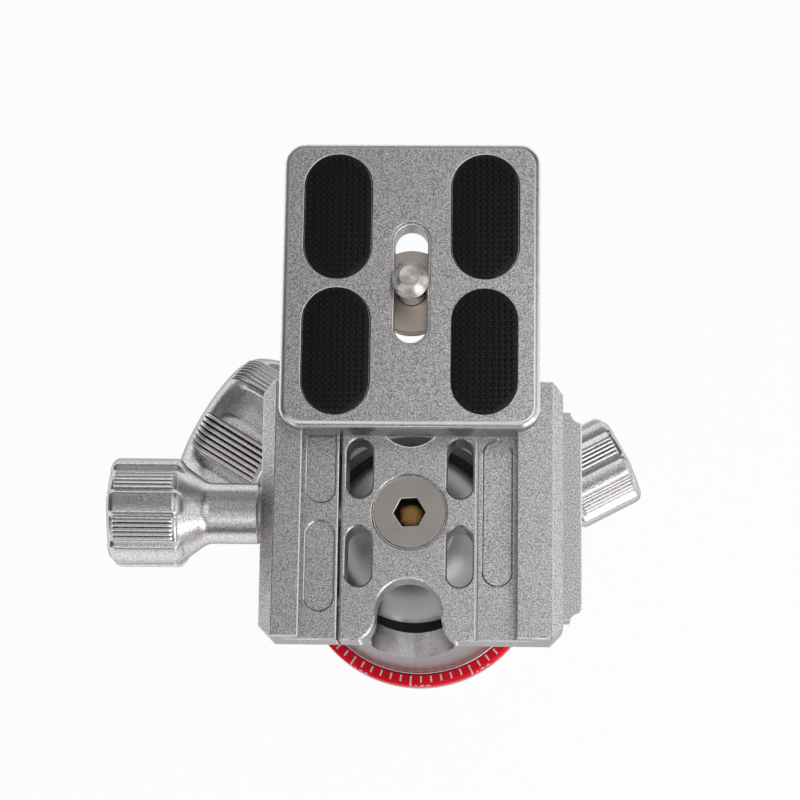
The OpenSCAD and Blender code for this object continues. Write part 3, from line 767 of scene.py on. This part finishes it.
# rises are shares of the radius, plateau and foot degrees round the axis, lengths lie along it
knobShape = {
    "lobes": 6, "rise": 0.07, "plateau": 9.0, "foot": 16.8, "corner": 1.5, "pinch": 0.4, "fadeOver": 1.6,
    "ribDip": 0.012, "ribRise": 0.052, "ribFrom": 0.8, "ribFull": 1.3, "ribFade": 0.45,
    "neckBevel": 0.3, "bend": 0.9, "bendSteps": 6, "rimDrop": 0.4, "rim": ((0.25, 0.12), (0.5, 0.0)),
    "roundTo": 80, "roundSteps": 12, "domeSteps": 5,
    "lobeStep": 0.2, "lobeRings": 18, "bodyFrom": 0.6, "bodyRings": 8,
    "endFrom": 0.6, "endStep": 0.15, "endRings": 5,
}


def smoothStep(low, high, v):
    t = min(1.0, max(0.0, (v - low) / (high - low)))
    return t * t * (3 - 2 * t)


def between(rows, w):
    for (wa, ra), (wb, rb) in zip(rows, rows[1:]):
        if wa <= w <= wb:
            return ra + (rb - ra) * (w - wa) / (wb - wa)
    return rows[-1][1]


def coreOf(s):
    return s["radius"] * (1 - knobShape["rise"])


# outline of the body without its lobes: distance along the axis and radius
def knobBody(s):
    k, core, neck, edge, end = knobShape, coreOf(s), s["neck"], s["edge"], s["end"]
    grip = end - s["grip"]
    bend = grip - s["shoulder"] - k["bend"]
    body = [(s["start"], neck - k["neckBevel"]), (s["start"] + k["neckBevel"], neck), (bend, neck)]
    slope = (core - k["rimDrop"] - neck) / s["shoulder"]
    for i in range(1, k["bendSteps"] + 1):  # soft bend from the neck into the cone
        t = i / k["bendSteps"]
        body.append((bend + 2 * k["bend"] * t, neck + slope * k["bend"] * t * t))
    body += [(grip, core - k["rimDrop"]), *((grip + along, core - drop) for along, drop in k["rim"])]
    body.append((end - edge, core))
    turns = [math.radians(k["roundTo"] * i / k["roundSteps"]) for i in range(1, k["roundSteps"] + 1)]
    return body + [(end - edge + edge * math.sin(t), core - edge + edge * math.cos(t)) for t in turns]


# distance along the axis, core radius, lobe rise, rib height and lobe width at each ring of points
def knobRings(s):
    k, core, r, edge, end = knobShape, coreOf(s), s["radius"], s["edge"], s["end"]
    body = knobBody(s)
    grip = end - s["grip"]
    ribEnd = end - s["ribEnd"]
    first = grip - s["over"]
    foot = between(body, first)
    stops = {w for w, q in body} | {first + k["lobeStep"] * i for i in range(k["lobeRings"])}
    stops |= {grip + k["bodyFrom"] + i * (s["grip"] - edge) / k["bodyRings"] for i in range(k["bodyRings"])}
    stops |= {ribEnd - k["endFrom"] + k["endStep"] * i for i in range(k["endRings"])}
    rings = []
    for w in sorted(stops):
        if w > body[-1][0]:
            continue
        q = between(body, w)
        lobe = r
        if w < first + s["swell"]:  # the lobe rises out of the cone
            lobe = max(q, r - (r - foot) * ((first + s["swell"] - w) / s["swell"]) ** 2)
        if s["fade"]:
            fadeFrom = end - edge - s["fade"]
            if w > fadeFrom:
                lobe = q + (r - core) * (1 - smoothStep(fadeFrom, end - edge + k["fadeOver"], w))
        elif w > end - edge:
            lobe = r - edge + math.sqrt(max(0.0, edge ** 2 - (w - end + edge) ** 2))
        ribs = smoothStep(grip + k["ribFrom"], grip + k["ribFull"], w)
        ribs *= 1 - smoothStep(ribEnd - k["ribFade"], ribEnd, w)
        past = max(0.0, first + k["corner"] - w, 0.0 if s["fade"] else w - end + k["corner"])
        past = min(1.0, past / k["corner"])
        width = 1 - k["pinch"] * (1 - math.sqrt(1 - past ** 2))  # the corners of a lobe are round
        rings.append((w, q, max(0.0, lobe - q) if w > first else 0.0, ribs, width))
    return rings


def lobeAt(off, width=1.0):
    return 1 - smoothStep(knobShape["plateau"] * width, knobShape["foot"] * width, off)


# angle, distance from the middle of the nearest lobe, rib height and ridge at each point round the axis
def knobRule(s):
    n, zone = s["around"], 360 / knobShape["lobes"]
    rule = []
    for i in range(n):
        angle = 360 * i / n
        off = abs((angle - s["turn"] + zone / 2) % zone - zone / 2)
        fromRibs = (angle - s["turn"]) % zone - zone / 2
        rib = ridge = 0.0
        if abs(fromRibs) < s["span"] / 2:
            wave = abs(math.sin(math.pi * (fromRibs / s["span"] + 0.5) * s["ribs"]))
            rib, ridge = wave * knobShape["ribRise"] - knobShape["ribDip"], 2 * wave - 1
        rule.append((math.radians(angle), off, rib * (1 - lobeAt(off)), ridge * (1 - lobeAt(off))))
    return rule


def gripKnob(node, s):
    a = math.radians(s["direction"])
    out, up = Vector((math.cos(a), math.sin(a), 0)), Vector((0, 0, 1))
    side = Vector((-math.sin(a), math.cos(a), 0))
    rule, rings, core = knobRule(s), knobRings(s), coreOf(s)
    bm = bmesh.new()
    # ridge values, which the knob finish turns into painted highlight on crests and painted shade in valleys
    crest = bm.verts.layers.float.new("ridge")

    def point(w, r, t, ridge=0.0):
        v = bm.verts.new((out * w + side * (r * math.sin(t)) + up * (s["height"] - r * math.cos(t))) * mm)
        v[crest] = ridge
        return v

    loops = []
    for w, q, rise, ribs, width in rings:
        loops.append([point(w, q + lobeAt(off, width) * rise + rib * ribs * core, t, ridge * ribs)
                      for t, off, rib, ridge in rule])
    lastW, lastR = rings[-1][:2]
    tip = s["end"] + s["dome"]
    for i in range(1, knobShape["domeSteps"]):  # the domed end face
        left = 1 - i / knobShape["domeSteps"]
        loops.append([point(lastW + (tip - lastW) * (1 - left ** 2), lastR * left, row[0]) for row in rule])
    skinned(bm, loops)
    for loop, at in ((loops[0], s["start"]), (loops[-1], tip)):
        middle = point(at, 0, 0)
        for i in range(len(rule)):
            bm.faces.new((loop[i - 1], loop[i], middle))
    return newPiece(node + "_dressed", bm)


for name, s in knobSet.items():
    made = gripKnob(name, s)
    paint(made, "knobSilver")
    keep(made, name)
    print("knob", name, len(made.data.polygons), "faces")


# rubber pads with a square field of small domes

padSet = {
    "width": 11.4, "length": 21.9, "acrossFromMiddle": 12.73, "alongFromMiddle": 11.93, "plateY": 38.2,
    "low": 83.8, "top": 84.72, "round": 0.30, "roundSteps": 4, "arcSteps": 20, "pitch": 1.07, "border": 0.38,
    "domeRadius": 0.46, "domeHeight": 0.42, "domeSegments": 8, "domeRings": 5,
}


def stadiumLoop(w, l, n):
    r, half = w / 2, (l - w) / 2
    pts = [(r * math.cos(a), half + r * math.sin(a)) for a in (math.pi * i / n for i in range(n + 1))]
    return pts + [(-x, -y) for x, y in pts]


def padBlanks(s):
    bm = bmesh.new()
    steps = [(0, s["low"]), (0, s["top"] - s["round"])]
    for i in range(1, s["roundSteps"] + 1):
        a = math.pi / 2 * i / s["roundSteps"]
        steps.append((s["round"] * (1 - math.cos(a)), s["top"] - s["round"] * (1 - math.sin(a))))
    for sx in (-1, 1):
        for sy in (-1, 1):
            middle = Vector((sx * s["acrossFromMiddle"], s["plateY"] + sy * s["alongFromMiddle"], 0))
            loops = []
            for inset, z in steps:
                pts = stadiumLoop(s["width"] - 2 * inset, s["length"] - 2 * inset, s["arcSteps"])
                loops.append([bm.verts.new((middle + Vector((x, y, z))) * mm) for x, y in pts])
            skinned(bm, loops)
            bm.faces.new(loops[-1])
            bm.faces.new(reversed(loops[0]))
    return newPiece("padBlanks", bm)


def padDomes(s):
    t = Tree("padDomes", pitch=s["pitch"] * mm, across=int((s["width"] - s["border"]) / s["pitch"]),
             along=int((s["length"] - s["border"]) / s["pitch"]),
             width=(s["width"] - 2 * s["border"]) * mm, length=(s["length"] - 2 * s["border"]) * mm,
             radius=s["domeRadius"] * mm, height=s["domeHeight"] * mm, level=s["top"] * mm,
             padsAcross=2 * s["acrossFromMiddle"] * mm, padsAlong=2 * s["alongFromMiddle"] * mm,
             plateY=s["plateY"] * mm, rubber=finishes["rubber"])
    g = t.given
    field = t.add("GeometryNodeMeshGrid", {
        "Size X": t.times(g("pitch"), t.minus(g("across"), 1.0)), "Vertices X": g("across"),
        "Size Y": t.times(g("pitch"), t.minus(g("along"), 1.0)), "Vertices Y": g("along")})
    x, y, z = t.add("ShaderNodeSeparateXYZ", {0: t.add("GeometryNodeInputPosition")}).node.outputs
    straight = t.times(t.minus(g("length"), g("width")), 0.5)
    past = t.calc("MAXIMUM", t.minus(t.calc("ABSOLUTE", y), straight), 0.0)
    reach = t.calc("SQRT", t.plus(t.times(x, x), t.times(past, past)))
    outside = t.calc("GREATER_THAN", reach, t.times(g("width"), 0.5))
    dots = t.add("GeometryNodeDeleteGeometry", {"Geometry": field, "Selection": outside},
                 {"domain": "POINT"})
    dome = t.add("GeometryNodeMeshUVSphere", {
        "Segments": s["domeSegments"], "Rings": s["domeRings"], "Radius": 1.0})
    smooth = t.add("GeometryNodeSetShadeSmooth", {"Geometry": dome})
    domes = t.add("GeometryNodeInstanceOnPoints", {
        "Points": dots, "Instance": smooth, "Scale": t.vector(g("radius"), g("radius"), g("height"))})
    four = t.add("GeometryNodeMeshGrid", {
        "Size X": g("padsAcross"), "Vertices X": 2, "Size Y": g("padsAlong"), "Vertices Y": 2})
    placed = t.add("GeometryNodeTransform", {
        "Geometry": four, "Translation": t.vector(0.0, g("plateY"), g("level"))})
    fields = t.add("GeometryNodeInstanceOnPoints", {"Points": placed, "Instance": domes})
    return t.mesh(fields, g("rubber"), "padDomes")


pads = joined("plate_pads_dressed", padBlanks(padSet), padDomes(padSet))
paint(pads, "rubber", "rubber")
keep(pads, "plate_pads")
print("pads:", len(pads.data.polygons), "faces")


# scale on the red ring: marks every five degrees, longer ones with a number every thirty

scaleSet = {
    "radius": 24.4, "top": 8.0, "bevel": 0.5, "marks": 72, "longEvery": 6, "firstAt": 266.3,
    "width": 0.34, "thick": 0.05, "sunk": 0.2, "slantLength": 1.45,
    "shortIn": 22.5, "shortOut": 23.75, "longIn": 22.5, "longOut": 23.9, "sideLow": 5.9, "sideTop": 7.5,
    "firstNumber": 150, "textHeight": 1.75, "capShare": 0.72, "curveSteps": 3,
    "textGap": 0.5, "textBase": 6.1, "textSunk": 0.12, "cutSnap": 0.00001,
}


def scaleMarks(s):
    lengths = ("width", "thick", "sunk", "shortIn", "shortOut", "longIn", "longOut", "radius", "top", "bevel",
               "sideLow", "sideTop")
    t = Tree("scaleMarks", marks=s["marks"], longEvery=s["longEvery"], **{k: s[k] * mm for k in lengths},
             start=math.radians(s["firstAt"]), fill=finishes["white"])
    g = t.given
    dots = t.add("GeometryNodeMeshLine", {
        "Count": g("marks"), "Start Location": (0, 0, 0), "Offset": (0, 0, 0)})
    count = t.add("GeometryNodeInputIndex")
    step = t.calc("DIVIDE", 2 * math.pi, g("marks"))
    turn = t.vector(0.0, 0.0, t.plus(g("start"), t.times(count, step)))
    isLong = t.calc("LESS_THAN", t.calc("MODULO", count, g("longEvery")), 0.5)
    isShort = t.minus(1.0, isLong)

    def bar(a, b, low, high):
        size = t.vector(t.minus(b, a), g("width"), t.minus(high, low))
        middle = t.vector(t.times(t.plus(a, b), 0.5), 0.0, t.times(t.plus(low, high), 0.5))
        cube = t.add("GeometryNodeMeshCube", {"Size": size})
        return t.add("GeometryNodeTransform", {"Geometry": cube, "Translation": middle})

    under, over = t.minus(g("top"), g("sunk")), t.plus(g("top"), t.times(g("thick"), 0.5))
    inner, skin = t.minus(g("radius"), g("sunk")), t.plus(g("radius"), t.times(g("thick"), 0.5))
    half = t.times(g("bevel"), 0.5)
    slant = t.add("GeometryNodeMeshCube", {
        "Size": t.vector(t.times(g("bevel"), s["slantLength"]), g("width"), g("thick"))})
    overBevel = t.add("GeometryNodeTransform", {
        "Geometry": slant, "Rotation": (0, math.pi / 4, 0),
        "Translation": t.vector(t.minus(g("radius"), half), 0.0, t.minus(g("top"), half))})
    together = t.add("GeometryNodeJoinGeometry")
    for pick, shape in ((isShort, bar(g("shortIn"), g("shortOut"), under, over)),
                        (isLong, bar(g("longIn"), g("longOut"), under, over)),
                        (isLong, bar(inner, skin, g("sideLow"), g("sideTop"))), (isLong, overBevel)):
        placed = t.add("GeometryNodeInstanceOnPoints", {
            "Points": dots, "Selection": pick, "Instance": shape, "Rotation": turn})
        t.join(placed, together.node.inputs[0])
    return t.mesh(together, g("fill"), "scaleMarks")


def textMesh(words, s):
    text = bpy.data.curves.new("scaleNumber", "FONT")
    text.body = words
    text.size, text.resolution_u = s["textHeight"] / s["capShare"], s["curveSteps"]
    holder = bpy.data.objects.new("scaleNumber", text)
    scene.collection.objects.link(holder)
    flat = bpy.data.meshes.new_from_object(holder.evaluated_get(bpy.context.evaluated_depsgraph_get()))
    bpy.data.objects.remove(holder)
    return flat


def scaleNumbers(s):
    bm = bmesh.new()
    every = s["longEvery"] * 360 / s["marks"]
    bend = s["sideTop"] - s["textBase"]
    diagonal = math.sqrt(0.5)
    for i in range(int(360 / every)):
        flat = textMesh(str(int(s["firstNumber"] - i * every) % 360), s)
        digits = bmesh.new()
        digits.from_mesh(flat)
        bmesh.ops.bisect_plane(digits, geom=digits.verts[:] + digits.edges[:] + digits.faces[:],
                               dist=s["cutSnap"], plane_co=(0, bend, 0), plane_no=(0, 1, 0))
        bmesh.ops.triangulate(digits, faces=digits.faces)
        skin = bmesh.ops.extrude_face_region(digits, geom=digits.faces[:])
        lifted = {v for v in skin["geom"] if isinstance(v, bmesh.types.BMVert)}
        for v in digits.verts:
            out = s["thick"] * 0.5 if v in lifted else -s["textSunk"]
            a = math.radians(s["firstAt"] + i * every) + (v.co.x + s["textGap"]) / s["radius"]
            past = max(0.0, v.co.y - bend) * diagonal  # what lies over the bevel leans in with it
            lean = out * diagonal if past > 0 else 0.0
            r = s["radius"] - past + (lean if past > 0 else out)
            z = s["textBase"] + min(v.co.y, bend) + past + lean
            v.co = Vector((r * math.cos(a), r * math.sin(a), z)) * mm
        digits.to_mesh(flat)
        digits.free()
        bm.from_mesh(flat)
    return newPiece("scaleNumbers", bm)


scale = joined("scaleFill", scaleMarks(scaleSet), scaleNumbers(scaleSet))
paint(scale, "white", "white")
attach(scale, "base")
print("scale:", len(scale.data.polygons), "faces")


# camera screw with a cut thread and a turned end face, given by radius and depth

cameraScrewSet = {
    "y": 38.2, "around": 72, "headHeight": 2.0, "sunk": 0.3, "neckRadius": 2.6, "neckGap": 0.05,
    "threadLength": 4.4, "threadRadius": 3.175, "pitch": 1.27, "threadDepth": 0.55, "cuts": 44,
    "flankTop": 1.25, "flankSlope": 3.2, "runIn": 0.6, "lead": 1.25, "leadBow": 1.4, "fullFace": 1.2,
    "faceRadius": 1.85, "face": ((1.75, 0.0), (1.60, 0.03), (0.9, 0.06), (0.0, 0.02)), "weld": 0.0001,
}
screwHeadSet = {"finish": "nickel", "edge": 0.15, "angle": 30, "below": 78.5}


def threadRadius(s, z, part, low, top):
    full, face, neck = s["threadRadius"], s["faceRadius"], s["neckRadius"]
    wave = (z / s["pitch"] - part) % 1.0
    cut = s["threadDepth"] * min(1.0, max(0.0, s["flankTop"] - abs(wave - 0.5) * s["flankSlope"]))
    lead = max(0.0, (z - (top - s["lead"])) / s["lead"])
    r = min(full - cut, full - (full - face) * lead ** s["leadBow"])
    if z > top - s["fullFace"]:
        r = max(r, face)
    return neck + (r - neck) * min(1.0, (z - low) / s["runIn"])


def cameraScrew(s):
    low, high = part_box("camera_screw")
    n, neck, top = s["around"], s["neckRadius"], high.z / mm
    foot, threadLow = low.z / mm + s["headHeight"] - s["sunk"], top - s["threadLength"]
    rows = [[(r, z)] * n for r, z in ((0.0, foot), (neck, foot), (neck, threadLow - s["neckGap"]))]
    for i in range(s["cuts"] + 1):
        z = threadLow + (top - threadLow) * i / s["cuts"]
        rows.append([(threadRadius(s, z, k / n, threadLow, top), z) for k in range(n)])
    rows += [[(r, top - depth)] * n for r, depth in s["face"]]
    bm = bmesh.new()
    turns = [2 * math.pi * k / n for k in range(n)]
    loops = [[bm.verts.new(Vector((r * math.cos(a), s["y"] + r * math.sin(a), z)) * mm)
              for a, (r, z) in zip(turns, row)] for row in rows]
    skinned(bm, loops)
    bmesh.ops.remove_doubles(bm, verts=bm.verts, dist=s["weld"] * mm)
    return newPiece("cameraScrewThread", bm)


thread = cameraScrew(cameraScrewSet)
paint(thread, "cameraScrew")
head = machined("camera_screw", screwHeadSet)
screw = joined("camera_screw_dressed", thread, head)
keep(screw, "camera_screw")
print("camera screw:", len(screw.data.polygons), "faces")


# studio: soft boxes by azimuth, elevation and watts, and a tent that darkens upwards

lightSet = {
    "frontRightLow": (315, 22, 0.47),
    "rightLow": (0, 22, 0.16),
    "topRight": (0, 68, 0.165),
    "frontLeftLow": (225, 22, 0.10),
    "topFrontLeft": (240, 68, 0.10),
    "front": (270, 46, 0.09),
    "topRear": (60, 68, 0.074),
    "frontLeft": (225, 46, 0.05),
    "rearLow": (90, 22, 0.03),
    "rearLeft": (135, 46, 0.023),
    "topRearLeft": (120, 68, 0.023),
    "topFront": (300, 68, 0.023),
    "rear": (90, 46, 0.02),
}
studioSet = {
    "boxSize": 260, "boxDistance": 400, "aim": (0, 10, 50),
    "tent": ((0.0, 0.22), (0.30, 0.12), (1.0, 0.05)),
    "floorHalf": 6000, "floorDrop": 0.5, "floorTone": 0.82, "floorRoughness": 0.9, "floorGlow": 0.96,
}


def softBox(name, azimuth, elevation, watts, s):
    data = bpy.data.lights.new(name, "AREA")
    data.shape, data.size = "SQUARE", s["boxSize"] * mm
    data.energy = watts
    lamp = bpy.data.objects.new(name, data)
    a, e, aim = math.radians(azimuth), math.radians(elevation), Vector(s["aim"]) * mm
    away = Vector((math.cos(e) * math.cos(a), math.cos(e) * math.sin(a), math.sin(e)))
    lamp.location = aim + away * s["boxDistance"] * mm
    lamp.rotation_mode = "QUATERNION"
    lamp.rotation_quaternion = (aim - lamp.location).to_track_quat("-Z", "Y")
    scene.collection.objects.link(lamp)


def studioWorld(s):
    world = bpy.data.worlds.new("studioWorld")
    world.use_nodes = True
    f = Finish("studioWorld", world.node_tree)
    x, y, z = f.axes(f.node("ShaderNodeTexCoord", out="Generated"))
    tent = f.ramp(z, *((at, grey(tone)) for at, tone in s["tent"]))
    f.feed(world.node_tree.nodes["Background"].inputs["Color"], tent)
    scene.world = world


def paleFloor(s):
    bm = bmesh.new()
    bmesh.ops.create_grid(bm, x_segments=2, y_segments=2, size=s["floorHalf"] * mm)
    mesh = bpy.data.meshes.new("paleFloor")
    bm.to_mesh(mesh)
    bm.free()
    floor = bpy.data.objects.new("paleFloor", mesh)
    floor.location.z = -s["floorDrop"] * mm
    scene.collection.objects.link(floor)
    f = Finish("paleFloor")
    f.base(colour=grey(s["floorTone"]), roughness=s["floorRoughness"])
    seen = f.node("ShaderNodeLightPath", out="Is Camera Ray")
    for ray in ("Is Glossy Ray", "Is Transmission Ray"):
        seen = seen.atLeast(f.node("ShaderNodeLightPath", out=ray))
    glow = f.node("ShaderNodeEmission", {}, {"Color": (1, 1, 1, 1), "Strength": 1.0})
    mix = f.node("ShaderNodeMixShader", {}, {
        0: seen * s["floorGlow"], 1: Wire(f, f.shader.outputs[0]), 2: glow})
    f.feed(f.tree.nodes["Material Output"].inputs["Surface"], mix)
    mesh.materials.append(f.material)


for name, place in lightSet.items():
    softBox(name + "SoftBox", *place, studioSet)
studioWorld(studioSet)
paleFloor(studioSet)
scene.view_settings.view_transform = "Standard"
print("studio lit")
